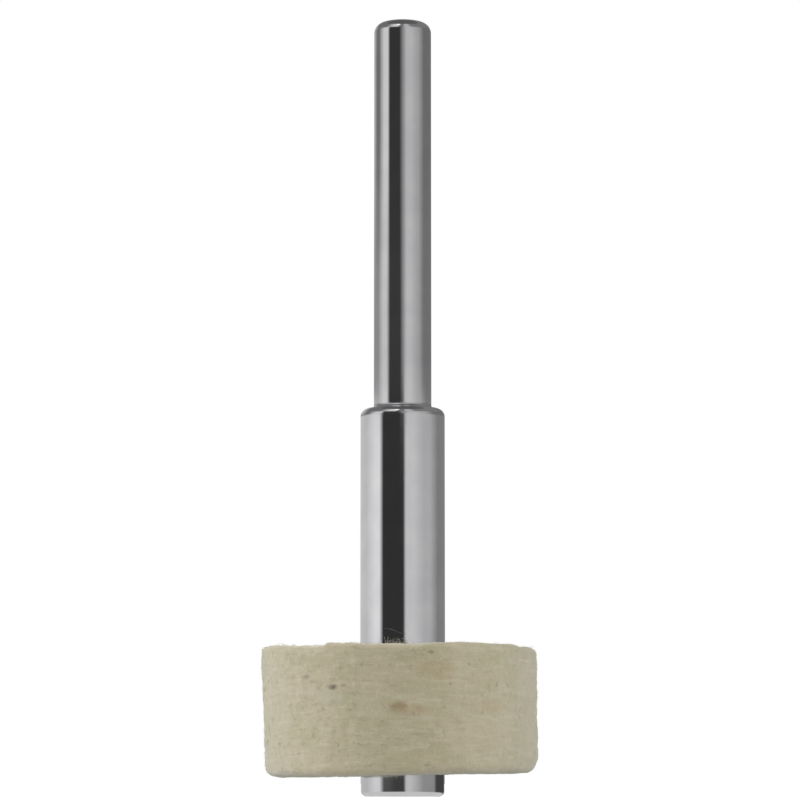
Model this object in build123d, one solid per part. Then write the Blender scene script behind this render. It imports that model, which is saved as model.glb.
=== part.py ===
"""A small felt polishing wheel held on a screw mandrel, for a rotary tool with a 1/8 inch collet.

Three pieces come apart on the bench: the turned steel mandrel, the pressed felt wheel, and the
slotted cheese-head screw that clamps the wheel against the end of the mandrel's collar.
The frame is +Z up along the common axis, with the origin in the middle of the screw head's flat
outer face, so the tool stands on its screw head with the shank pointing up. Millimetres.
"""

from build123d import *
from math import cos, radians, sin, tan
import os

# Mandrel: a thin shank for the collet above a thicker collar.
SHANK_DIAMETER = 3.175
SHANK_LENGTH = 21.7
COLLAR_DIAMETER = 4.65
COLLAR_SHOWING = 13.2
TIP_ROUND = 0.6
SHOULDER_ROUND = 0.45
SHANK_ROOT_ROUND = 0.2
COLLAR_END_CHAMFER = 0.1

# Felt wheel: a disc with a plain bore, dented by the two steel faces that squeeze it.
WHEEL_DIAMETER = 15.0
WHEEL_THICKNESS = 7.0
WHEEL_EDGE_ROUND = 0.4
WHEEL_BORE = 3.0
DENT_DEPTH = 0.5
DENT_GAP = 0.1
DENT_LIP_ROUND = 0.2

# Clamp screw: M2.5 x 12 with a slotted cheese head, threaded only where it enters the mandrel.
HEAD_DIAMETER = 4.6
HEAD_HEIGHT = 1.6
HEAD_ROUND = 0.3
SLOT_WIDTH = 0.65
SLOT_DEPTH = 0.7
SLOT_ANGLE = 0.0
SCREW_LENGTH = 12.0
PLAIN_SHANK_DIAMETER = 2.5
THREAD_LENGTH = 6.9

# Thread: 60 degree form, one start, right-handed. The tapped hole stands clear of the screw all over.
PITCH = 0.45
FLANK_ANGLE = 30.0
SCREW_CREST_RADIUS = 1.225
SCREW_ROOT_RADIUS = 0.965
SCREW_CREST_WIDTH = PITCH / 8
THREAD_CLEARANCE = 0.055
THREAD_LEAD_IN = 0.3
TAPPED_DEPTH = 6.6
DRILL_TAIL = 1.0
DRILL_TAIL_RADIUS = 1.0
DRILL_POINT_ANGLE = 59.0
MOUTH_CHAMFER = 0.2

# Heights above the screw head's outer face.
WHEEL_BOTTOM = HEAD_HEIGHT - DENT_DEPTH
WHEEL_TOP = WHEEL_BOTTOM + WHEEL_THICKNESS
COLLAR_END = WHEEL_TOP - DENT_DEPTH
SHOULDER = WHEEL_TOP + COLLAR_SHOWING
SHANK_END = SHOULDER + SHANK_LENGTH
SCREW_TIP = HEAD_HEIGHT + SCREW_LENGTH


def cylinder(radius, bottom, top):
    """A solid cylinder on the axis between two heights."""
    base = Pos(0, 0, bottom)
    return base * Cylinder(radius, top - bottom, align=(Align.CENTER, Align.CENTER, Align.MIN))


def circle_edge(shape, radius, height):
    """The edges of a shape that circle the axis at a radius and a height."""
    rings = shape.edges().filter_by(GeomType.CIRCLE)
    return [e for e in rings if abs(e.radius - radius) < 1e-6 and abs(e.arc_center.Z - height) < 1e-6]


def thread_section(crest_radius, root_radius, crest_width):
    """A one-start thread cut square to its axis: a crest arc, a root arc and two spiral flanks."""

    def point(radius, turn):
        return (radius * cos(radians(turn)), radius * sin(radians(turn)))

    def flank(start_radius, start_turn, end_radius, end_turn, spans=6):
        steps = [i / spans for i in range(spans + 1)]
        radius_change, turn_change = end_radius - start_radius, end_turn - start_turn
        return Spline([point(start_radius + radius_change * s, start_turn + turn_change * s) for s in steps])

    flank_width = (crest_radius - root_radius) * tan(radians(FLANK_ANGLE))
    crest_half_turn = 180 * crest_width / PITCH
    root_start = crest_half_turn + 360 * flank_width / PITCH
    return make_face(
        [
            CenterArc((0, 0), crest_radius, -crest_half_turn, 2 * crest_half_turn),
            flank(crest_radius, crest_half_turn, root_radius, root_start),
            CenterArc((0, 0), root_radius, root_start, 360 - 2 * root_start),
            flank(root_radius, 360 - root_start, crest_radius, 360 - crest_half_turn),
        ]
    )


def threaded_bar(section, bottom, top):
    """A thread section carried up the axis, turning once a pitch, in step with every other bar."""
    lead_turn = 360 * bottom / PITCH
    start = Pos(0, 0, bottom) * Rot(0, 0, lead_turn)
    guide = start * Helix(PITCH, top - bottom, 2 * SCREW_CREST_RADIUS)
    return sweep(start * section, path=Line((0, 0, bottom), (0, 0, top)), binormal=guide)


def tapped_hole():
    """The space of the blind M2.5 hole: mouth chamfer, thread, drill tail and drill point."""
    crest_radius = SCREW_CREST_RADIUS + THREAD_CLEARANCE
    root_radius = SCREW_ROOT_RADIUS + THREAD_CLEARANCE
    flank_shift = THREAD_CLEARANCE / cos(radians(FLANK_ANGLE))
    crest_width = SCREW_CREST_WIDTH + 2 * (flank_shift - THREAD_CLEARANCE * tan(radians(FLANK_ANGLE)))
    thread_end = COLLAR_END + TAPPED_DEPTH
    tail_end = thread_end + DRILL_TAIL
    point_length = DRILL_TAIL_RADIUS / tan(radians(DRILL_POINT_ANGLE))
    grooves = threaded_bar(
        thread_section(crest_radius, root_radius, crest_width), COLLAR_END - MOUTH_CHAMFER, thread_end
    )
    tail = cylinder(DRILL_TAIL_RADIUS, thread_end, tail_end)
    rest_on_base = (Align.CENTER, Align.CENTER, Align.MIN)
    point = Pos(0, 0, tail_end) * Cone(DRILL_TAIL_RADIUS, 0, point_length, align=rest_on_base)
    mouth_radius = crest_radius + MOUTH_CHAMFER
    mouth_height = mouth_radius - root_radius + MOUTH_CHAMFER
    mouth = Pos(0, 0, COLLAR_END) * Cone(
        mouth_radius, mouth_radius - mouth_height, mouth_height, align=rest_on_base
    )
    return [grooves, tail, point, mouth]


def make_mandrel():
    """Bright plated steel, turned in one piece: shank, shoulder, collar and the tapped hole below."""
    shank = cylinder(SHANK_DIAMETER / 2, SHOULDER, SHANK_END)
    shank = fillet(circle_edge(shank, SHANK_DIAMETER / 2, SHANK_END), TIP_ROUND)
    collar = cylinder(COLLAR_DIAMETER / 2, COLLAR_END, SHOULDER)
    collar = fillet(circle_edge(collar, COLLAR_DIAMETER / 2, SHOULDER), SHOULDER_ROUND)
    collar = chamfer(circle_edge(collar, COLLAR_DIAMETER / 2, COLLAR_END), COLLAR_END_CHAMFER)
    body = shank + collar
    body = fillet(circle_edge(body, SHANK_DIAMETER / 2, SHOULDER), SHANK_ROOT_ROUND)
    for hollow in tapped_hole():
        body = body - hollow
    return body


def make_felt_wheel():
    """Pressed wool felt: a disc with softened edges, a plain bore and a shallow dent on each side."""
    disc = cylinder(WHEEL_DIAMETER / 2, WHEEL_BOTTOM, WHEEL_TOP)
    rims = [e for z in (WHEEL_BOTTOM, WHEEL_TOP) for e in circle_edge(disc, WHEEL_DIAMETER / 2, z)]
    disc = fillet(rims, WHEEL_EDGE_ROUND)
    head_dent = HEAD_DIAMETER / 2 + DENT_GAP
    collar_dent = COLLAR_DIAMETER / 2 + DENT_GAP
    disc = disc - cylinder(WHEEL_BORE / 2, WHEEL_BOTTOM, WHEEL_TOP)
    disc = disc - cylinder(head_dent, WHEEL_BOTTOM, HEAD_HEIGHT)
    disc = disc - cylinder(collar_dent, COLLAR_END, WHEEL_TOP)
    lips = circle_edge(disc, head_dent, WHEEL_BOTTOM) + circle_edge(disc, collar_dent, WHEEL_TOP)
    return fillet(lips, DENT_LIP_ROUND)


def make_clamp_screw():
    """Plated steel screw: slotted cheese head, plain shank through the felt, and a thread to the tip."""
    head = cylinder(HEAD_DIAMETER / 2, 0, HEAD_HEIGHT)
    head = fillet(circle_edge(head, HEAD_DIAMETER / 2, 0), HEAD_ROUND)
    slot = Rot(0, 0, SLOT_ANGLE) * Pos(0, 0, SLOT_DEPTH / 2) * Box(2 * HEAD_DIAMETER, SLOT_WIDTH, SLOT_DEPTH)
    thread_start = SCREW_TIP - THREAD_LENGTH
    plain_shank = cylinder(PLAIN_SHANK_DIAMETER / 2, HEAD_HEIGHT, thread_start)
    section = thread_section(SCREW_CREST_RADIUS, SCREW_ROOT_RADIUS, SCREW_CREST_WIDTH)
    blank = cylinder(PLAIN_SHANK_DIAMETER / 2, thread_start, SCREW_TIP)
    blank = chamfer(circle_edge(blank, PLAIN_SHANK_DIAMETER / 2, SCREW_TIP), THREAD_LEAD_IN)
    thread = threaded_bar(section, thread_start, SCREW_TIP) & blank
    return (head - slot) + plain_shank + thread


PARTS = {
    "mandrel": make_mandrel,
    "felt_wheel": make_felt_wheel,
    "clamp_screw": make_clamp_screw,
}

os.makedirs("parts", exist_ok=True)
for node, make in PARTS.items():
    export_step(make(), f"parts/{node}.step")
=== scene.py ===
"""A felt polishing wheel clamped on a small plated mandrel, standing on its screw head."""
import math

import bmesh
import bpy
from mathutils import Euler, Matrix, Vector, noise


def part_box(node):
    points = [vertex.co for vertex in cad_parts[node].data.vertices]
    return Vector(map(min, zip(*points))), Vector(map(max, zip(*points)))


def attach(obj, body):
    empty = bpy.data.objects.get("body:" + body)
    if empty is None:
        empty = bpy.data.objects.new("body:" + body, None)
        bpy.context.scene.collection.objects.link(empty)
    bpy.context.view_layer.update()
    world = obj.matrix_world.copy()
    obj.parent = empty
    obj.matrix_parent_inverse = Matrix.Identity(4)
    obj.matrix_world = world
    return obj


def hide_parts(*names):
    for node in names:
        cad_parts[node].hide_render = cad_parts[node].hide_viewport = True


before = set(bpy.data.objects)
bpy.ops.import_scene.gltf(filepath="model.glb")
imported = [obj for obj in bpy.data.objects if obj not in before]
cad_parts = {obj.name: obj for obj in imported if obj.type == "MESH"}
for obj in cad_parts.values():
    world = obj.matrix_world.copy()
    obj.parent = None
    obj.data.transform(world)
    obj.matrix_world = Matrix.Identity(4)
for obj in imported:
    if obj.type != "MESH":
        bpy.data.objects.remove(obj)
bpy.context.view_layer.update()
MM = 0.001


# ---------------------------------------------------------------------------------------------
# Mandrel. One bar of bright plated steel: a thin shank for the collet, a square shoulder and a
# thicker collar, all turned in one chucking, then drilled and tapped M2.5 from the collar's end.
# ---------------------------------------------------------------------------------------------
class Wire:
    """One output of a node tree. Sums written with it add Math nodes; node() adds any other node."""

    def __init__(self, tree, socket=None):
        self.tree = tree
        self.socket = socket

    def node(self, kind, settings=None, inputs=None, output=0):
        """Adds a node: its settings first, then a value or a link for each socket named in inputs."""
        made = self.tree.nodes.new(kind)
        for name, value in (settings or {}).items():
            if name == "stops":
                ramp = made.color_ramp
                ramp.elements.remove(ramp.elements[1])
                ramp.elements[0].position, ramp.elements[0].color = value[0]
                for position, colour in value[1:]:
                    ramp.elements.new(position).color = colour
            else:
                setattr(made, name, value)
        for name, value in (inputs or {}).items():
            if isinstance(value, Wire):
                self.tree.links.new(value.socket, made.inputs[name])
            else:
                made.inputs[name].default_value = value
        return Wire(self.tree, made.outputs[output] if len(made.outputs) else None)

    def out(self, name):
        """Another output of the same node."""
        return Wire(self.tree, self.socket.node.outputs[name])

    def math(self, operation, *terms):
        return self.node("ShaderNodeMath", {"operation": operation}, dict(enumerate(terms)))

    def __add__(self, other):
        return self.math("ADD", self, other)

    __radd__ = __add__

    def __sub__(self, other):
        return self.math("SUBTRACT", self, other)

    def __rsub__(self, other):
        return self.math("SUBTRACT", other, self)

    def __mul__(self, other):
        return self.math("MULTIPLY", self, other)

    __rmul__ = __mul__

    def __truediv__(self, other):
        return self.math("DIVIDE", self, other)

    def between(self, low, high):
        """0 below low, 1 above high and a smooth rise between."""
        rise = {"interpolation_type": "SMOOTHSTEP"}
        return self.node("ShaderNodeMapRange", rise, {"Value": self, "From Min": low, "From Max": high})


def new_material(name, colour):
    """A Principled material: its start wire and its shader node. colour also shows in the viewport."""
    material = bpy.data.materials.new(name)
    material.use_nodes = True
    material.diffuse_color = (*colour, 1.0)
    shader = material.node_tree.nodes["Principled BSDF"]
    shader.inputs["Base Color"].default_value = (*colour, 1.0)
    return material, Wire(material.node_tree), shader


def feed(shader, socket, wire):
    """Links a wire into one of the shader's own sockets."""
    wire.tree.links.new(wire.socket, shader.inputs[socket])


def millimetres(start):
    """The piece's own coordinates, counted in millimetres."""
    place = start.node("ShaderNodeTexCoord", output="Object")
    return start.node("ShaderNodeVectorMath", {"operation": "SCALE"}, {0: place, "Scale": 1000.0})


def stretched(place, by):
    """Coordinates multiplied along X, Y and Z, to draw a pattern out one way."""
    return place.node("ShaderNodeVectorMath", {"operation": "MULTIPLY"}, {0: place, 1: by})


def grain(place, scale, detail=3.0, roughness=0.55, distortion=0.0):
    """Noise with scale cells to the millimetre."""
    values = {
        "Vector": place, "Scale": scale, "Detail": detail, "Roughness": roughness, "Distortion": distortion,
    }
    return place.node("ShaderNodeTexNoise", {}, values)


def blended(factor, first, second):
    """Colour between first and second."""
    return factor.node(
        "ShaderNodeMix", {"data_type": "RGBA"}, {0: factor, 6: first, 7: second}, output=2
    )


def plated_steel(name):
    """Bright plate over turned steel: near mirror, with a faint lay of tool marks and small rubs.

    The corner where the shank meets the shoulder is duller, because no polishing reaches into it.
    """
    material, start, shader = new_material(name, (0.76, 0.76, 0.775))
    place = millimetres(start)
    cloud = grain(place, 0.55, 2.0)
    tool_lay = grain(stretched(place, (0.25, 0.25, 26.0)), 1.0, 2.0)
    rubs = grain(stretched(place, (5.0, 5.0, 0.7)), 1.6, 4.0, 0.65).between(0.6, 0.78)
    height = start.node("ShaderNodeSeparateXYZ", {}, {"Vector": place}, output="Z")
    above_root = height.between(shoulder + 0.75 * root_round, shoulder + 1.5 * root_round)
    dull_root = height.between(shoulder - 0.12, shoulder) * (1 - above_root)
    tone = blended(cloud.between(0.35, 0.7), (0.74, 0.74, 0.76, 1.0), (0.8, 0.8, 0.81, 1.0))
    feed(shader, "Base Color", tone)
    feed(shader, "Roughness", 0.05 + 0.03 * cloud + 0.02 * tool_lay + 0.1 * rubs + 0.22 * dull_root)
    lay = start.node(
        "ShaderNodeBump", {}, {"Strength": 0.12, "Distance": 0.002 * MM, "Height": tool_lay + 0.6 * rubs}
    )
    feed(shader, "Normal", lay)
    shader.inputs["Metallic"].default_value = 1.0
    return material


def arc(centre_r, centre_z, radius, start, end, steps):
    """Points of a rounded corner, in a radius and height outline. Angles are in degrees."""
    turns = [math.radians(start + (end - start) * i / steps) for i in range(steps + 1)]
    return [(centre_r + radius * math.cos(t), centre_z + radius * math.sin(t), 0.0) for t in turns]


def threaded_run(radius, bottom, top, fade=0.0, rows_per_turn=14):
    """Closely spaced outline points with the thread cut into them, from bottom to top.

    The last fade millimetres run out to the thread's root, as the chamfered tip of a screw does.
    """
    rows = round(rows_per_turn * (top - bottom) / PITCH)
    heights = [bottom + (top - bottom) * i / rows for i in range(rows + 1)]
    return [(radius - max(0.0, z - (top - fade)), z, 1.0) for z in heights]


def turning_tree():
    """Geometry nodes that spin an outline about the axis and cut a helical thread where it is marked."""
    tree = bpy.data.node_groups.new("turn_and_thread", "GeometryNodeTree")
    sockets = {
        "Outline": "NodeSocketGeometry", "Facets": "NodeSocketInt", "Pitch": "NodeSocketFloat",
        "Thread Radius": "NodeSocketFloat", "Thread Depth": "NodeSocketFloat",
        "Crest Width": "NodeSocketFloat", "Finish": "NodeSocketMaterial",
    }
    for name, kind in sockets.items():
        tree.interface.new_socket(name, in_out="INPUT", socket_type=kind)
    tree.interface.new_socket("Bar", in_out="OUTPUT", socket_type="NodeSocketGeometry")
    given = Wire(tree).node("NodeGroupInput")
    outline, facets = given.out("Outline"), given.out("Facets")
    pitch, depth = given.out("Pitch"), given.out("Thread Depth")
    rows = given.node("GeometryNodeAttributeDomainSize", {"component": "MESH"}, {"Geometry": outline})
    counts = {"Size X": 1.0, "Size Y": 1.0, "Vertices X": facets + 1, "Vertices Y": rows}
    grid = given.node("GeometryNodeMeshGrid", {}, counts)
    index = given.node("GeometryNodeInputIndex")
    column = index.math("FLOOR", (index + 0.5) / rows)
    row = index - column * rows
    place = given.node("GeometryNodeInputPosition")
    mark = given.node("GeometryNodeInputNamedAttribute", {"data_type": "FLOAT"}, {"Name": "cut"})
    point = given.node(
        "GeometryNodeSampleIndex", {"data_type": "FLOAT_VECTOR"},
        {"Geometry": outline, "Value": place, "Index": row},
    )
    cut = given.node(
        "GeometryNodeSampleIndex", {"data_type": "FLOAT"}, {"Geometry": outline, "Value": mark, "Index": row}
    )
    parts = given.node("ShaderNodeSeparateXYZ", {}, {"Vector": point})
    radius, height = parts, parts.out("Z")
    turn = column / facets
    lead = height / pitch - turn
    lead = lead - lead.math("ROUND", lead)
    from_crest = lead.math("ABSOLUTE", lead) * pitch
    fall = (from_crest - given.out("Crest Width") / 2) * math.tan(math.radians(60))
    fall = fall.node("ShaderNodeClamp", {}, {"Value": fall, "Min": 0.0, "Max": depth})
    thread_radius = given.out("Thread Radius") - fall
    radius = radius - cut * radius.math("MAXIMUM", radius - thread_radius, 0.0)
    angle = turn * math.tau
    spot = given.node(
        "ShaderNodeCombineXYZ", {},
        {"X": radius * angle.math("COSINE", angle), "Y": radius * angle.math("SINE", angle), "Z": height},
    )
    spun = given.node("GeometryNodeSetPosition", {}, {"Geometry": grid, "Position": spot})
    joined = given.node("GeometryNodeMergeByDistance", {}, {"Geometry": spun, "Distance": 1e-7})
    real = given.node("GeometryNodeRealizeInstances", {}, {"Geometry": joined})
    done = given.node("GeometryNodeSetMaterial", {}, {"Geometry": real, "Material": given.out("Finish")})
    given.node("NodeGroupOutput", {}, {"Bar": done})
    return tree


def run_tree(tree, start_mesh, values):
    """Runs a geometry tree on a mesh and gives back the plain mesh it makes."""
    carrier = bpy.data.objects.new("carrier", start_mesh)
    bpy.context.collection.objects.link(carrier)
    modifier = carrier.modifiers.new("made", "NODES")
    modifier.node_group = tree
    for item in tree.interface.items_tree:
        if item.in_out == "INPUT" and item.name in values:
            modifier[item.identifier] = values[item.name]
    graph = bpy.context.evaluated_depsgraph_get()
    made = bpy.data.meshes.new_from_object(carrier.evaluated_get(graph), depsgraph=graph)
    carrier.modifiers.clear()
    bpy.data.objects.remove(carrier)
    return made


def edge_loops(outline, near=0.03, longest=0.25):
    """The outline with a point close to each end of its long straights, which keeps them shading true."""
    looped = [outline[0]]
    for (r0, z0, cut0), (r1, z1, cut1) in zip(outline, outline[1:]):
        length = math.hypot(r1 - r0, z1 - z0)
        if length > longest and not cut0 and not cut1:
            for share in (near / length, 1 - near / length):
                looped.append((r0 + (r1 - r0) * share, z0 + (z1 - z0) * share, 0.0))
        looped.append((r1, z1, cut1))
    return looped


def turned(outline, finish, facets, thread_radius=1.225, thread_depth=0.26, crest_width=0.056):
    """A closed turned mesh from (radius, height, cut) points in millimetres, axis to axis."""
    outline = edge_loops(outline)
    line = bpy.data.meshes.new("outline")
    points = [(r * MM, 0.0, z * MM) for r, z, _ in outline]
    line.from_pydata(points, [(i, i + 1) for i in range(len(points) - 1)], [])
    marks = line.attributes.new("cut", "FLOAT", "POINT")
    marks.data.foreach_set("value", [cut for _, _, cut in outline])
    values = {
        "Facets": facets, "Pitch": PITCH * MM, "Thread Radius": thread_radius * MM,
        "Thread Depth": thread_depth * MM, "Crest Width": crest_width * MM, "Finish": finish,
    }
    mesh = run_tree(TURNING, line, values)
    shell = bmesh.new()
    shell.from_mesh(mesh)
    bmesh.ops.dissolve_degenerate(shell, edges=shell.edges, dist=1e-8)
    bmesh.ops.recalc_face_normals(shell, faces=shell.faces)
    shell.to_mesh(mesh)
    shell.free()
    return mesh


def finished(name, mesh, body, slot, *nodes, corner=32):
    """Puts a finished mesh in the scene as a piece of that body. Edges past corner degrees stay sharp."""
    mesh.name = name
    mesh.shade_smooth()
    mesh.set_sharp_from_angle(angle=math.radians(corner))
    piece = bpy.data.objects.new(name, mesh)
    bpy.context.collection.objects.link(piece)
    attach(piece, body)
    if nodes:
        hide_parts(*nodes)
    return piece


mandrel_low, mandrel_high = (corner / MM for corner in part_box("mandrel"))
collar_end, shank_end = mandrel_low.z, mandrel_high.z
shank_radius, collar_radius, shoulder = 1.5875, mandrel_high.x, 21.3
tip_round, root_round, shoulder_round, end_round = 0.6, 0.2, 0.45, 0.08
PITCH = 0.45
hole_crest, hole_root, hole_crest_width, mouth_chamfer = 1.28, 1.02, 0.12, 0.2
drill_radius, drill_point = 0.98, 0.59
TURNING = turning_tree()
bright_plate = plated_steel("bright_plate")
hole_end = collar_end + 6.6
drill_tail = hole_end + 1.0
mandrel_outline = (
    [(0.0, shank_end, 0.0)]
    + arc(shank_radius - tip_round, shank_end - tip_round, tip_round, 90, 0, 16)
    + arc(shank_radius + root_round, shoulder + root_round, root_round, 180, 270, 8)
    + arc(collar_radius - shoulder_round, shoulder - shoulder_round, shoulder_round, 90, 0, 12)
    + arc(collar_radius - end_round, collar_end + end_round, end_round, 0, -90, 4)
    + [(hole_crest + mouth_chamfer, collar_end, 0.0)]
    + threaded_run(hole_crest, collar_end + mouth_chamfer, hole_end)
    + [(drill_radius, hole_end + 0.02, 0.0), (drill_radius, drill_tail, 0.0)]
    + [(0.0, drill_tail + drill_point, 0.0)]
)
mandrel_mesh = turned(
    mandrel_outline, bright_plate, 128, hole_crest, hole_crest - hole_root, hole_crest_width
)
finished("mandrel_bar", mandrel_mesh, "mandrel", "plated_steel", "mandrel")


# ---------------------------------------------------------------------------------------------
# Felt wheel. Wool pressed into a thick hard sheet and punched out as a disc, so its layers run
# round the rim. The rim is worn and uneven, and the two steel faces have sunk into its sides.
# ---------------------------------------------------------------------------------------------
def ease(value, low, high):
    """A smooth rise from 0 at low to 1 at high."""
    share = min(1.0, max(0.0, (value - low) / (high - low)))
    return share * share * (3 - 2 * share)


def spaced(start, end, steps):
    """Evenly spaced points in a straight line, from the first after start to end."""
    return [tuple(a + (b - a) * i / steps for a, b in zip(start, end)) for i in range(1, steps + 1)]


def felt_outline():
    """Radius and height points round the section of the disc, from the bore over the top and back."""
    bore, rim_radius, low_rim_radius = 1.5, 7.53, 7.45
    top, bottom, top_round, low_round = 8.1, 1.1, 0.28, 0.4
    top_dent, low_dent, dent_floor = collar_end - 0.01, 1.61, 2.2
    top_face, low_face = (2.55, top), (low_rim_radius - low_round, bottom)
    points = [(bore, low_dent)] + spaced((bore, low_dent), (bore, top_dent), 6)
    points += spaced((bore, top_dent), (dent_floor, top_dent), 4)
    points += [(2.33, top_dent + 0.04), (2.345, top_dent + 0.15), (2.35, top_dent + 0.28)]
    points += [(2.38, top - 0.12), (2.45, top - 0.08)]
    points += [top_face] + spaced(top_face, (rim_radius - top_round, top), 30)
    points += [(r, z) for r, z, _ in arc(rim_radius - top_round, top - top_round, top_round, 75, 0, 5)]
    points += spaced((rim_radius, top - top_round), (low_rim_radius, bottom + low_round), 52)[:-1]
    points += [(r, z) for r, z, _ in arc(low_face[0], bottom + low_round, low_round, 0, -78, 6)]
    points += [low_face] + spaced(low_face, (2.5, bottom), 30)
    points += [(2.4, bottom + 0.05), (2.35, bottom + 0.12), (2.32, low_dent - 0.28)]
    points += [(2.315, low_dent - 0.12), (2.29, low_dent - 0.02), (dent_floor, low_dent), (1.85, low_dent)]
    return points


def along_rim(azimuth, start, full, fading, end):
    """1 over a stretch of the rim, rising smoothly into it and falling smoothly out of it."""
    return ease(azimuth, start, full) * (1 - ease(azimuth, fading, end))


def felt_wear(azimuth, r, z):
    """Change of height and radius where the rim is worn. azimuth is in degrees from the front, to +X."""
    left_low = along_rim(-azimuth, 31, 34, 38, 70)
    right_low = along_rim(azimuth, 57, 61, 100, 140)
    back_low = ease(abs(azimuth), 150, 165)
    front_low = 1 - ease(abs(azimuth + 4), 10, 20)
    right_high = along_rim(azimuth, 12, 24, 56, 62)
    near_top = ease(z, 6.6, 8.0) * ease(r, 5.6, 6.9)
    rise = 0.03 - 0.2 * left_low - 0.1 * right_low - 0.08 * back_low - 0.09 * front_low + 0.05 * right_high
    rise *= near_top
    thinner = 0.1 + 0.02 * r * math.sin(math.radians(azimuth))
    rise += thinner * ease(r, 2.3, 2.6) * (1 - ease(z, 1.1, 3.0))
    right_corner = along_rim(azimuth, 50, 75, 110, 140)
    left_corner = along_rim(-azimuth, 40, 65, 110, 140)
    low = (1 - ease(z, 1.3, 2.0)) * ease(r, 6.2, 7.2)
    rise += 0.12 * left_corner * ease(r, 6.7, 7.4) * (1 - ease(z, 1.1, 2.0))
    rub = (0.15 * right_corner + 0.06 * left_corner) * low
    shrink = -rub - 0.03 * right_low * near_top
    return rise, shrink


def felt_mesh(columns=400):
    """The disc as a closed grid, pushed in and out by the lumps and layers of the felt."""
    outline = felt_outline()
    rows, rim, mid_height = len(outline), 7.5, 4.6
    mesh = bpy.data.meshes.new("felt_disc")
    vertices = []
    for column in range(columns):
        turn = math.tau * column / columns
        azimuth = math.degrees(turn)
        azimuth = azimuth - 360 if azimuth > 180 else azimuth
        across, away = math.sin(turn), -math.cos(turn)
        for row, (r, z) in enumerate(outline):
            before, after = outline[row - 1], outline[(row + 1) % rows]
            slope = Vector((after[0] - before[0], after[1] - before[1])).normalized()
            out_r, out_z = -slope.y, slope.x
            open_face = ease(r, 2.4, 3.2)
            spot = Vector((r * across, r * away, z))
            rim_spot = Vector((across * rim, away * rim, z))
            swell = 0.05 * noise.noise(spot * 0.35) + 0.045 * noise.noise(spot * 1.1 + Vector((9, 0, 0)))
            lumps = 0.035 * noise.noise(spot * 2.6 + Vector((0, 7, 0)))
            layers = 0.028 * noise.noise(Vector((rim_spot.x * 0.7, rim_spot.y * 0.7, z * 4.5)))
            layers *= ease(r, 6.4, 7.3)
            tufts = 0.018 * noise.noise(spot * 7.0)
            push = (swell + lumps + layers + tufts) * open_face
            rise, shrink = felt_wear(azimuth, r, z)
            dish = -0.1 * math.exp(-(r - 2.4) / 0.5) * open_face * (1 if z > mid_height else -1)
            new_r = r + out_r * push + shrink
            lean = -(0.055 + 0.13 * ease(z, 1.5, 8.0)) * ease(r, 4.0, 7.2)
            x, y = new_r * across + lean, new_r * away
            vertices.append((x * MM, y * MM, (z + out_z * push + rise + dish) * MM))
    faces = []
    for column in range(columns):
        start, following = column * rows, (column + 1) % columns * rows
        for row in range(rows):
            low = (row + 1) % rows
            faces.append((start + row, following + row, following + low, start + low))
    mesh.from_pydata(vertices, [], faces)
    shell = bmesh.new()
    shell.from_mesh(mesh)
    bmesh.ops.recalc_face_normals(shell, faces=shell.faces)
    shell.to_mesh(mesh)
    shell.free()
    return mesh


def wool_felt(name):
    """Undyed pressed wool: beige, olive and pinkish hanks felted together, with burrs and a rust mark."""
    material, start, shader = new_material(name, (0.42, 0.37, 0.27))
    place = millimetres(start)
    layered = stretched(place, (0.45, 0.45, 3.4))
    beige, olive = (0.505, 0.449, 0.306, 1.0), (0.462, 0.425, 0.273, 1.0)
    pink, pale, shade = (0.530, 0.449, 0.318, 1.0), (0.600, 0.556, 0.410, 1.0), (0.385, 0.343, 0.229, 1.0)
    tone = blended(grain(place, 0.42, 2.0).between(0.38, 0.64), beige, olive)
    tone = blended(0.6 * grain(stretched(place, (0.7, 0.7, 1.3)), 0.5, 2.0).between(0.5, 0.7), tone, pink)
    tone = blended(0.5 * grain(layered, 1.0, 3.0, 0.6).between(0.5, 0.72), tone, pale)
    tone = blended(0.5 * grain(layered, 1.7, 3.0, 0.6).between(0.54, 0.74), tone, shade)
    tone = blended(0.55 * grain(place, 5.5, 3.0, 0.65).between(0.5, 0.75), tone, pale)
    tone = blended(0.55 * grain(place, 6.5, 3.0, 0.65, 0.4).between(0.53, 0.76), tone, shade)
    burrs = grain(place, 1.5, 1.0).between(0.755, 0.785)
    tone = blended(0.35 * burrs, tone, (0.16, 0.135, 0.09, 1.0))
    wander = grain(place, 3.0, 3.0)
    for spot, size, colour, strength in FELT_MARKS:
        away = start.node("ShaderNodeVectorMath", {"operation": "SUBTRACT"}, {0: place, 1: spot})
        away = stretched(away, (1.0, 1.0, 1.9))
        reach = start.node("ShaderNodeVectorMath", {"operation": "LENGTH"}, {0: away}, output="Value")
        inside = 1 - (reach + 0.9 * size * (wander - 0.5)).between(0.25 * size, size)
        tone = blended(strength * inside, tone, colour)
    feed(shader, "Base Color", tone)
    feed(shader, "Roughness", 0.9 + 0.1 * wander)
    matted = grain(place, 4.0, 4.0, 0.7, 0.6) + 0.6 * grain(layered, 1.8, 3.0) + 0.5 * grain(place, 13.0, 2.0)
    rough = start.node("ShaderNodeBump", {}, {"Strength": 0.55, "Distance": 0.05 * MM, "Height": matted})
    feed(shader, "Normal", rough)
    shader.inputs["Sheen Weight"].default_value = 0.5
    shader.inputs["Sheen Roughness"].default_value = 0.6
    shader.inputs["Specular IOR Level"].default_value = 0.15
    return material


BURR = (0.10, 0.085, 0.055, 1.0)
RUST = (0.31, 0.205, 0.105, 1.0)
WARM = (0.45, 0.35, 0.205, 1.0)
COOL = (0.47, 0.47, 0.345, 1.0)
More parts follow.
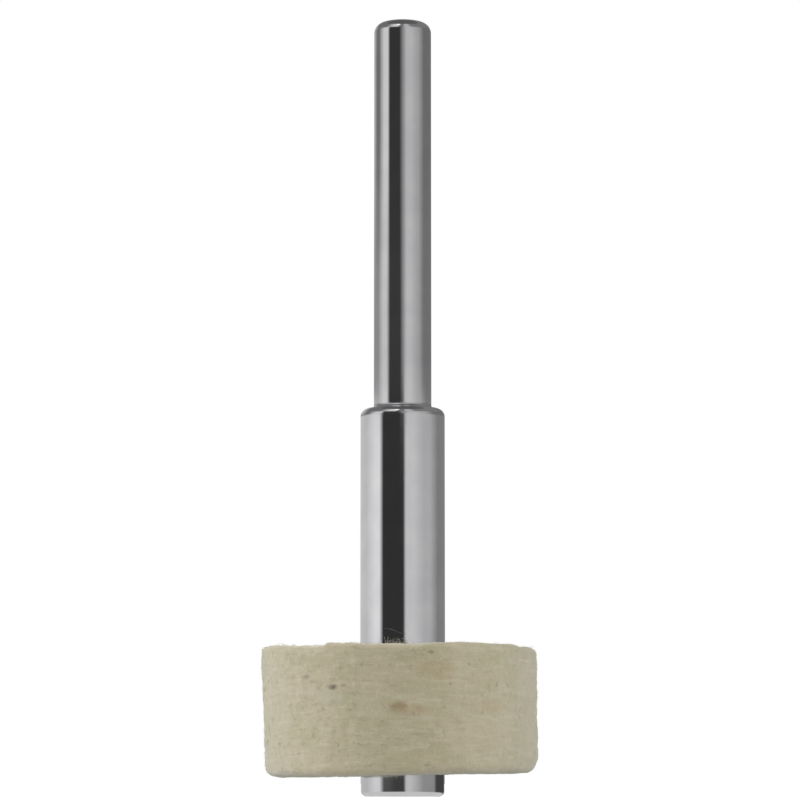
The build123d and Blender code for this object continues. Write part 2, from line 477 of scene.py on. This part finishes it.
# Each mark's place, size, colour and strength.
FELT_MARKS = [
    ((1.8, -7.25, 6.75), 1.5, WARM, 0.45),
    ((4.75, -5.8, 4.75), 1.1, WARM, 0.35),
    ((0.6, -7.45, 4.5), 0.9, WARM, 0.4),
    ((-3.85, -6.4, 5.3), 1.2, COOL, 0.5),
    ((-3.64, -6.52, 5.78), 0.42, BURR, 0.8),
    ((-3.1, -6.8, 5.85), 0.3, BURR, 0.3),
    ((-5.05, -5.5, 6.35), 0.42, BURR, 0.5),
    ((-4.75, -5.8, 6.1), 0.3, BURR, 0.3),
    ((1.49, -7.32, 7.62), 0.26, BURR, 0.45),
    ((-0.25, -7.45, 4.72), 0.78, RUST, 0.62),
    ((0.9, -7.4, 4.6), 0.5, RUST, 0.22),
    ((2.6, 7.0, 3.6), 0.4, BURR, 0.55),
]
pressed_wool = wool_felt("pressed_wool")
felt = felt_mesh()
felt.materials.append(pressed_wool)
felt_disc = finished("felt_disc", felt, "wheel", "wool_felt", "felt_wheel", corner=180)


# ---------------------------------------------------------------------------------------------
# Loose wool. Short ends of fibre that stand or lie on the felt, pulled out of it by use. Each is
# a thin bent thread of the same wool, held by its root in the disc. Two have stuck to oily steel.
# ---------------------------------------------------------------------------------------------
FLAT_TILT = 1.55


def fibre_tree():
    """Geometry nodes that scatter bent fibres of several shapes over a surface.

    Each leans from its root by a random angle, from Least Tilt to FLAT_TILT, in radians.
    """
    tree = bpy.data.node_groups.new("loose_wool", "GeometryNodeTree")
    sockets = {
        "Surface": "NodeSocketGeometry", "Per Square Metre": "NodeSocketFloat", "Length": "NodeSocketFloat",
        "Thickness": "NodeSocketFloat", "Least Tilt": "NodeSocketFloat", "Seed": "NodeSocketInt",
        "Finish": "NodeSocketMaterial",
    }
    for name, kind in sockets.items():
        tree.interface.new_socket(name, in_out="INPUT", socket_type=kind)
    tree.interface.new_socket("Fibres", in_out="OUTPUT", socket_type="NodeSocketGeometry")
    given = Wire(tree).node("NodeGroupInput")
    length, thickness, seed = given.out("Length"), given.out("Thickness"), given.out("Seed")
    place = given.node("GeometryNodeInputPosition")
    shapes = given.node("GeometryNodeJoinGeometry")
    for shape in range(5):
        line = given.node("GeometryNodeCurvePrimitiveLine", {}, {"Start": (0, 0, 0), "End": (0, 0, 1)})
        line = given.node("GeometryNodeResampleCurve", {}, {"Curve": line, "Count": 7})
        crimp = given.node(
            "ShaderNodeTexNoise", {"noise_dimensions": "4D"},
            {"Vector": place, "W": 3.7 * shape, "Scale": 1.7, "Detail": 1.0}, output="Color",
        )
        bend = given.node("ShaderNodeVectorMath", {"operation": "SUBTRACT"}, {0: crimp, 1: (0.5, 0.5, 0.5)})
        height = given.node("ShaderNodeSeparateXYZ", {}, {"Vector": place}, output="Z")
        lean = height * (1.1 + 0.35 * shape)
        bend = given.node("ShaderNodeVectorMath", {"operation": "SCALE"}, {0: bend, "Scale": lean})
        line = given.node("GeometryNodeSetPosition", {}, {"Geometry": line, "Offset": bend})
        ring = given.node(
            "GeometryNodeCurvePrimitiveCircle", {}, {"Resolution": 3, "Radius": thickness / length}
        )
        strand = given.node(
            "GeometryNodeCurveToMesh", {}, {"Curve": line, "Profile Curve": ring, "Fill Caps": True}
        )
        as_shape = given.node("GeometryNodeGeometryToInstance", {}, {"Geometry": strand})
        tree.links.new(as_shape.socket, shapes.socket.node.inputs["Geometry"])
    scatter = given.node(
        "GeometryNodeDistributePointsOnFaces", {},
        {"Mesh": given.out("Surface"), "Density": given.out("Per Square Metre"), "Seed": seed},
    )

    def chance(kind, low, high, offset):
        """A random value for each fibre. The node keeps a pair of sockets for each kind."""
        first, result = {"FLOAT": (2, 1), "INT": (4, 2)}[kind]
        limits = {first: low, first + 1: high, "Seed": seed + offset}
        return given.node("FunctionNodeRandomValue", {"data_type": kind}, limits, output=result)

    outward = scatter.out("Rotation")
    turn = chance("FLOAT", 0.0, math.tau, 4)
    lean = chance("FLOAT", given.out("Least Tilt"), FLAT_TILT, 1)
    tilt = given.node("ShaderNodeCombineXYZ", {}, {"X": lean, "Z": turn})
    facing = given.node(
        "FunctionNodeRotateRotation", {"rotation_space": "LOCAL"}, {"Rotation": outward, "Rotate By": tilt}
    )
    size = length * chance("FLOAT", 0.35, 1.0, 2)
    laid = given.node(
        "GeometryNodeInstanceOnPoints", {},
        {"Points": scatter, "Instance": shapes, "Pick Instance": True, "Rotation": facing, "Scale": size,
         "Instance Index": chance("INT", 0, 4, 3)},
    )
    real = given.node("GeometryNodeRealizeInstances", {}, {"Geometry": laid})
    done = given.node("GeometryNodeSetMaterial", {}, {"Geometry": real, "Material": given.out("Finish")})
    given.node("NodeGroupOutput", {}, {"Fibres": done})
    return tree


def loose_wool_finish(name, dark, pale):
    """The same wool as single fibres, which differ a little in colour."""
    material, start, shader = new_material(name, pale[:3])
    hank = grain(millimetres(start), 2.2, 1.0)
    feed(shader, "Base Color", blended(hank.between(0.35, 0.65), dark, pale))
    shader.inputs["Roughness"].default_value = 0.8
    shader.inputs["Specular IOR Level"].default_value = 0.2
    return material


def part_of_felt(name, wanted):
    """A copy of the faces of the felt whose middle and normal are wanted."""
    shell = bmesh.new()
    shell.from_mesh(felt)
    rest = [f for f in shell.faces if not wanted(f.calc_center_median() / MM, f.normal)]
    bmesh.ops.delete(shell, geom=rest, context="FACES")
    part = bpy.data.meshes.new(name)
    shell.to_mesh(part)
    shell.free()
    return part


def laid_fibre(name, radius, path, thickness, finish, body):
    """A fibre that clings to a round bar, through (azimuth in degrees, height) points."""
    points = [path[0]]
    for start, end in zip(path, path[1:]):
        points += spaced(start, end, 8)
    curve = bpy.data.curves.new(name, "CURVE")
    curve.dimensions, curve.bevel_depth, curve.bevel_resolution = "3D", thickness * MM, 1
    curve.use_fill_caps = True
    line = curve.splines.new("POLY")
    line.points.add(len(points) - 1)
    for point, (turn, height) in zip(line.points, points):
        turn = math.radians(turn)
        clear = (radius + 0.8 * thickness) * MM
        point.co = (clear * math.sin(turn), -clear * math.cos(turn), height * MM, 1.0)
        point.radius = 0.75 + 0.25 * math.sin(5.0 * height)
    holder = bpy.data.objects.new(name, curve)
    bpy.context.collection.objects.link(holder)
    graph = bpy.context.evaluated_depsgraph_get()
    mesh = bpy.data.meshes.new_from_object(holder.evaluated_get(graph), depsgraph=graph)
    bpy.data.objects.remove(holder)
    mesh.materials.clear()
    mesh.materials.append(finish)
    finished(name, mesh, body, "wool_felt", corner=180)


loose_wool = loose_wool_finish("loose_wool", (0.47, 0.42, 0.30, 1.0), (0.66, 0.61, 0.47, 1.0))
dusty_wool = loose_wool_finish("dusty_wool", (0.20, 0.175, 0.15, 1.0), (0.46, 0.42, 0.36, 1.0))
oily_wool = loose_wool_finish("oily_wool", (0.13, 0.125, 0.12, 1.0), (0.22, 0.215, 0.205, 1.0))
grow_fibres = fibre_tree()
lying = {
    "Per Square Metre": 6.0e6, "Length": 0.27 * MM, "Thickness": 0.009 * MM, "Least Tilt": 1.22, "Seed": 11,
    "Finish": loose_wool,
}
open_faces = part_of_felt("open_faces", lambda middle, normal: middle.xy.length > 2.42 and normal.z > -0.3)
fibres = run_tree(grow_fibres, open_faces, lying)
finished("loose_fibres", fibres, "wheel", "wool_felt", corner=180)

dent_lip = part_of_felt("dent_lip", lambda middle, normal: 2.36 < middle.xy.length < 2.7 and normal.z > 0.2)
standing = {"Per Square Metre": 2.0e7, "Length": 0.4 * MM, "Least Tilt": 0.35, "Seed": 5}
fuzz = run_tree(grow_fibres, dent_lip, lying | standing)
finished("collar_fuzz", fuzz, "wheel", "wool_felt", corner=180)


def before_collar(middle, normal):
    """True on the small part of the top face just in front of the collar."""
    return -1.05 < middle.x < 0.25 and -2.9 < middle.y < -2.35 and normal.z > 0.2


tufted = {
    "Per Square Metre": 1.9e8, "Length": 0.54 * MM, "Thickness": 0.007 * MM, "Least Tilt": 0.3, "Seed": 3,
    "Finish": dusty_wool,
}
tuft = run_tree(grow_fibres, part_of_felt("tuft_root", before_collar), lying | tufted)
finished("wool_tuft", tuft, "wheel", "wool_felt", corner=180)

clinging = 0.01
collar_path = [
    (-25, 9.08), (-20, 9.075), (-16, 9.045), (-13, 9.0), (-10, 8.945), (-6, 8.88), (-2, 8.83), (1, 8.8),
    (4, 8.79),
]
laid_fibre("collar_fibre", collar_radius, collar_path, clinging, oily_wool, "mandrel")
head_path = [(-23, 1.16), (-20, 1.14), (-17, 1.08), (-14, 0.98), (-12, 0.84)]
laid_fibre("head_fibre", 2.3, head_path, clinging, oily_wool, "screw")


# ---------------------------------------------------------------------------------------------
# Clamp screw. A plated M2.5 screw with a slotted cheese head, turned, slotted and then threaded.
# Its head squeezes the felt against the collar, and its thread holds in the mandrel.
# ---------------------------------------------------------------------------------------------
def slotted(mesh, width, depth, reach):
    """Saws the screwdriver slot along X across the head, and breaks the edges it leaves."""
    blank = bpy.data.objects.new("blank", mesh)
    saw_mesh = bpy.data.meshes.new("saw")
    saw_shape = bmesh.new()
    bmesh.ops.create_cube(saw_shape, size=1.0)
    for vertex in saw_shape.verts:
        vertex.co = Vector((vertex.co.x * reach, vertex.co.y * width, vertex.co.z * 2 * depth)) * MM
    saw_shape.to_mesh(saw_mesh)
    saw_shape.free()
    saw = bpy.data.objects.new("saw", saw_mesh)
    for piece in (blank, saw):
        bpy.context.collection.objects.link(piece)
    cut = blank.modifiers.new("slot", "BOOLEAN")
    cut.object, cut.operation, cut.solver = saw, "DIFFERENCE", "EXACT"
    edge = blank.modifiers.new("edge", "BEVEL")
    edge.width, edge.segments = 0.035 * MM, 2
    edge.limit_method, edge.angle_limit = "ANGLE", math.radians(50)
    graph = bpy.context.evaluated_depsgraph_get()
    made = bpy.data.meshes.new_from_object(blank.evaluated_get(graph), depsgraph=graph)
    blank.modifiers.clear()
    for piece in (blank, saw):
        bpy.data.objects.remove(piece)
    return made


screw_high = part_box("clamp_screw")[1] / MM
head_radius, head_height, head_edge, screw_tip = screw_high.x, 1.6, 0.3, screw_high.z
slot_width, slot_depth, saw_length = 0.65, 0.7, 6.0
plain_radius, thread_radius, tip_chamfer = 1.25, 1.225, 0.3
thread_start, stem_start = screw_tip - 6.9, head_height - 0.3
head_outline = (
    [(0.0, 0.0, 0.0), (1.2, 0.0, 0.0)]
    + arc(head_radius - head_edge, head_edge, head_edge, -90, 0, 10)
    + [(head_radius, head_height, 0.0), (0.0, head_height, 0.0)]
)
stem_outline = (
    [(0.0, stem_start, 0.0), (plain_radius, stem_start, 0.0), (plain_radius, thread_start - 0.03, 0.0)]
    + threaded_run(thread_radius, thread_start, screw_tip, tip_chamfer)
    + [(0.0, screw_tip, 0.0)]
)
head_mesh = slotted(turned(head_outline, bright_plate, 96), slot_width, slot_depth, saw_length)
whole_screw = bmesh.new()
whole_screw.from_mesh(head_mesh)
whole_screw.from_mesh(turned(stem_outline, bright_plate, 96))
screw_mesh = bpy.data.meshes.new("slotted_screw")
whole_screw.to_mesh(screw_mesh)
whole_screw.free()
screw_mesh.materials.append(bright_plate)
finished("slotted_screw", screw_mesh, "screw", "plated_steel", "clamp_screw")


# ---------------------------------------------------------------------------------------------
# Table and light. A pale table, and round it a light tent: bright cloth at the sides, a dark gap
# at the front where the camera looks in, and a grey roof with one small lamp. Not part of the tool.
# ---------------------------------------------------------------------------------------------
def stage_piece(name, points, faces, material):
    """A plain mesh that belongs to the stage and not to the tool."""
    mesh = bpy.data.meshes.new(name)
    mesh.from_pydata(points, [], faces)
    mesh.materials.append(material)
    piece = bpy.data.objects.new(name, mesh)
    bpy.context.collection.objects.link(piece)
    return piece


def glow(material):
    """Turns a material into plain light. Gives a start wire and the node that holds Strength and Color."""
    material.use_nodes = True
    tree = material.node_tree
    tree.nodes.clear()
    start = Wire(tree)
    light = start.node("ShaderNodeEmission")
    start.node("ShaderNodeOutputMaterial", {}, {"Surface": light})
    return start, light.socket.node


TENT_RADIUS, TENT_HEIGHT = 0.45, 0.42

tent_light = bpy.data.materials.new("tent_light")
start, lamp = glow(tent_light)
place = start.node("ShaderNodeTexCoord", output="Object")
parts = start.node("ShaderNodeSeparateXYZ", {}, {"Vector": place})
across, along, up = parts, parts.out("Y"), parts.out("Z")
bearing = across.math("ARCTAN2", across, 0 - along) / math.tau + 0.5
rise = up.math("ARCTAN2", up, across.math("SQRT", across * across + along * along)) * (180 / math.pi)


def band(*strips):
    """Brightness round the tent. Each strip of cloth has its two bearings, in degrees from the camera, and
    its brightness, and the light runs smoothly from one strip to the next.
    """
    stops = [
        (side / 360 + 0.5, (light, light, light, 1.0)) for left, right, light in strips for side in (left, right)
    ]
    return start.node("ShaderNodeValToRGB", {"stops": stops}, {0: bearing})


floor_band = band(
    (-180, -115, 0.58), (-80, -66, 0.75), (-53, -40, 0.1), (-20, 3, 0.06), (10, 20, 0.6), (60, 95, 0.3),
    (105, 150, 0.06), (165, 180, 0.3),
)
low_band = band(
    (-180, -115, 0.63), (-80, -66, 0.85), (-55, 2, 0.035), (9, 30, 0.65), (60, 80, 0.5), (110, 180, 0.25),
)
middle_band = band(
    (-180, -115, 0.32), (-86, -68, 0.65), (-53, -10, 0.05), (16, 30, 0.6), (60, 65, 0.43), (92, 180, 0.2),
)
high_band = band(
    (-180, -150, 0.5), (-125, -108, 0.18), (-80, -62, 0.73), (-54, -12, 0.04), (16, 35, 0.56), (60, 65, 0.44),
    (95, 180, 0.18),
)
crown_band = band((-180, -75, 0.18), (-38, -22, 0.8), (-12, 3, 0.22), (9, 24, 0.52), (40, 180, 0.22))
roof, floor = (0.12, 0.12, 0.12, 1.0), (0.67, 0.67, 0.67, 1.0)
tone = floor_band
for foot, head, upper in (
    (1.2, 2.0, low_band), (8.75, 9.3, middle_band), (10.5, 15.5, high_band), (24.5, 37.0, crown_band),
    (56.0, 62.0, roof),
):
    tone = blended(rise.between(foot, head), tone, upper)
tone = blended((0 - rise).between(6.0, 20.0), tone, floor)
start.tree.links.new(tone.socket, lamp.inputs["Color"])

sides = 96
ring = [(math.sin(math.tau * i / sides), -math.cos(math.tau * i / sides)) for i in range(sides)]
wall = [(x * TENT_RADIUS, y * TENT_RADIUS, z) for z in (-TENT_HEIGHT, TENT_HEIGHT) for x, y in ring]
wall_faces = [(i, (i + 1) % sides, sides + (i + 1) % sides, sides + i) for i in range(sides)]
ends = [tuple(range(sides)), tuple(range(2 * sides - 1, sides - 1, -1))]
stage_piece("light_tent", wall, wall_faces + ends, tent_light).visible_camera = False

lamp_light = bpy.data.materials.new("lamp_light")
start, lamp = glow(lamp_light)
lamp.inputs["Strength"].default_value = 1.5
lamp_centre, half_lamp = Vector((-0.075, -0.2, 0.3)), 0.03
facing = (Vector((0, 0, 0.02)) - lamp_centre).to_track_quat("Z", "Y")
square = [(-1, -1), (1, -1), (1, 1), (-1, 1)]
corners = [lamp_centre + facing @ Vector((x * half_lamp, y * half_lamp, 0)) for x, y in square]
stage_piece("small_lamp", corners, [(0, 1, 2, 3)], lamp_light).visible_camera = False

table_top = bpy.data.materials.new("table_top")
table_top.use_nodes = True
paper = table_top.node_tree.nodes["Principled BSDF"]
paper.inputs["Base Color"].default_value = (0.9, 0.9, 0.9, 1.0)
paper.inputs["Roughness"].default_value = 0.9
paper.inputs["Specular IOR Level"].default_value = 0.1
paper.inputs["Emission Color"].default_value = (1.0, 1.0, 1.0, 1.0)
paper.inputs["Emission Strength"].default_value = 0.5
half_table = 6.0
table_corners = [(x * half_table, y * half_table, 0) for x, y in square]
table = stage_piece("table", table_corners, [(0, 1, 2, 3)], table_top)
table.visible_diffuse = False
table.visible_glossy = False

world = bpy.data.worlds.new("white_room")
bpy.context.scene.world = world
world.use_nodes = True
world.node_tree.nodes["Background"].inputs["Color"].default_value = (1.0, 1.0, 1.0, 1.0)
world.node_tree.nodes["Background"].inputs["Strength"].default_value = 1.0


def soft_light(name, place, size, power):
    """A soft lamp that lights the felt but doesn't show in the steel."""
    lamp = bpy.data.lights.new(name, "AREA")
    lamp.size, lamp.energy = size, power
    holder = bpy.data.objects.new(name, lamp)
    bpy.context.collection.objects.link(holder)
    holder.location = place
    holder.rotation_euler = (Vector((0, 0, 0.01)) - Vector(place)).to_track_quat("-Z", "Y").to_euler()
    holder.visible_glossy = False


soft_light("left_light", (-0.31, 0.01, 0.16), 0.20, 0.75)
soft_light("right_light", (0.29, -0.06, 0.20), 0.24, 0.45)
soft_light("front_light", (0.02, -0.30, 0.20), 0.24, 0.38)
soft_light("back_light", (-0.04, 0.31, 0.20), 0.24, 0.45)


# ---------------------------------------------------------------------------------------------
# Camera. A long lens just above the table top, tipped up to take in the whole tool.
# ---------------------------------------------------------------------------------------------
LOOK_AT, DISTANCE, TIP_UP = Vector((-0.145, 0.0, 21.8)) * MM, 0.1979, math.radians(6.3)
lens = bpy.data.cameras.new("camera")
lens.sensor_width, lens.lens = 36.0, 161.1
lens.clip_start, lens.clip_end = 0.005, 20.0
camera = bpy.data.objects.new("camera", lens)
bpy.context.collection.objects.link(camera)
camera.location = LOOK_AT - DISTANCE * Vector((0.0, math.cos(TIP_UP), math.sin(TIP_UP)))
camera.rotation_euler = Euler((math.radians(90) + TIP_UP, 0.0, 0.0))
bpy.context.scene.camera = camera
bpy.context.scene.view_settings.view_transform = "Standard"

bpy.context.view_layer.update()
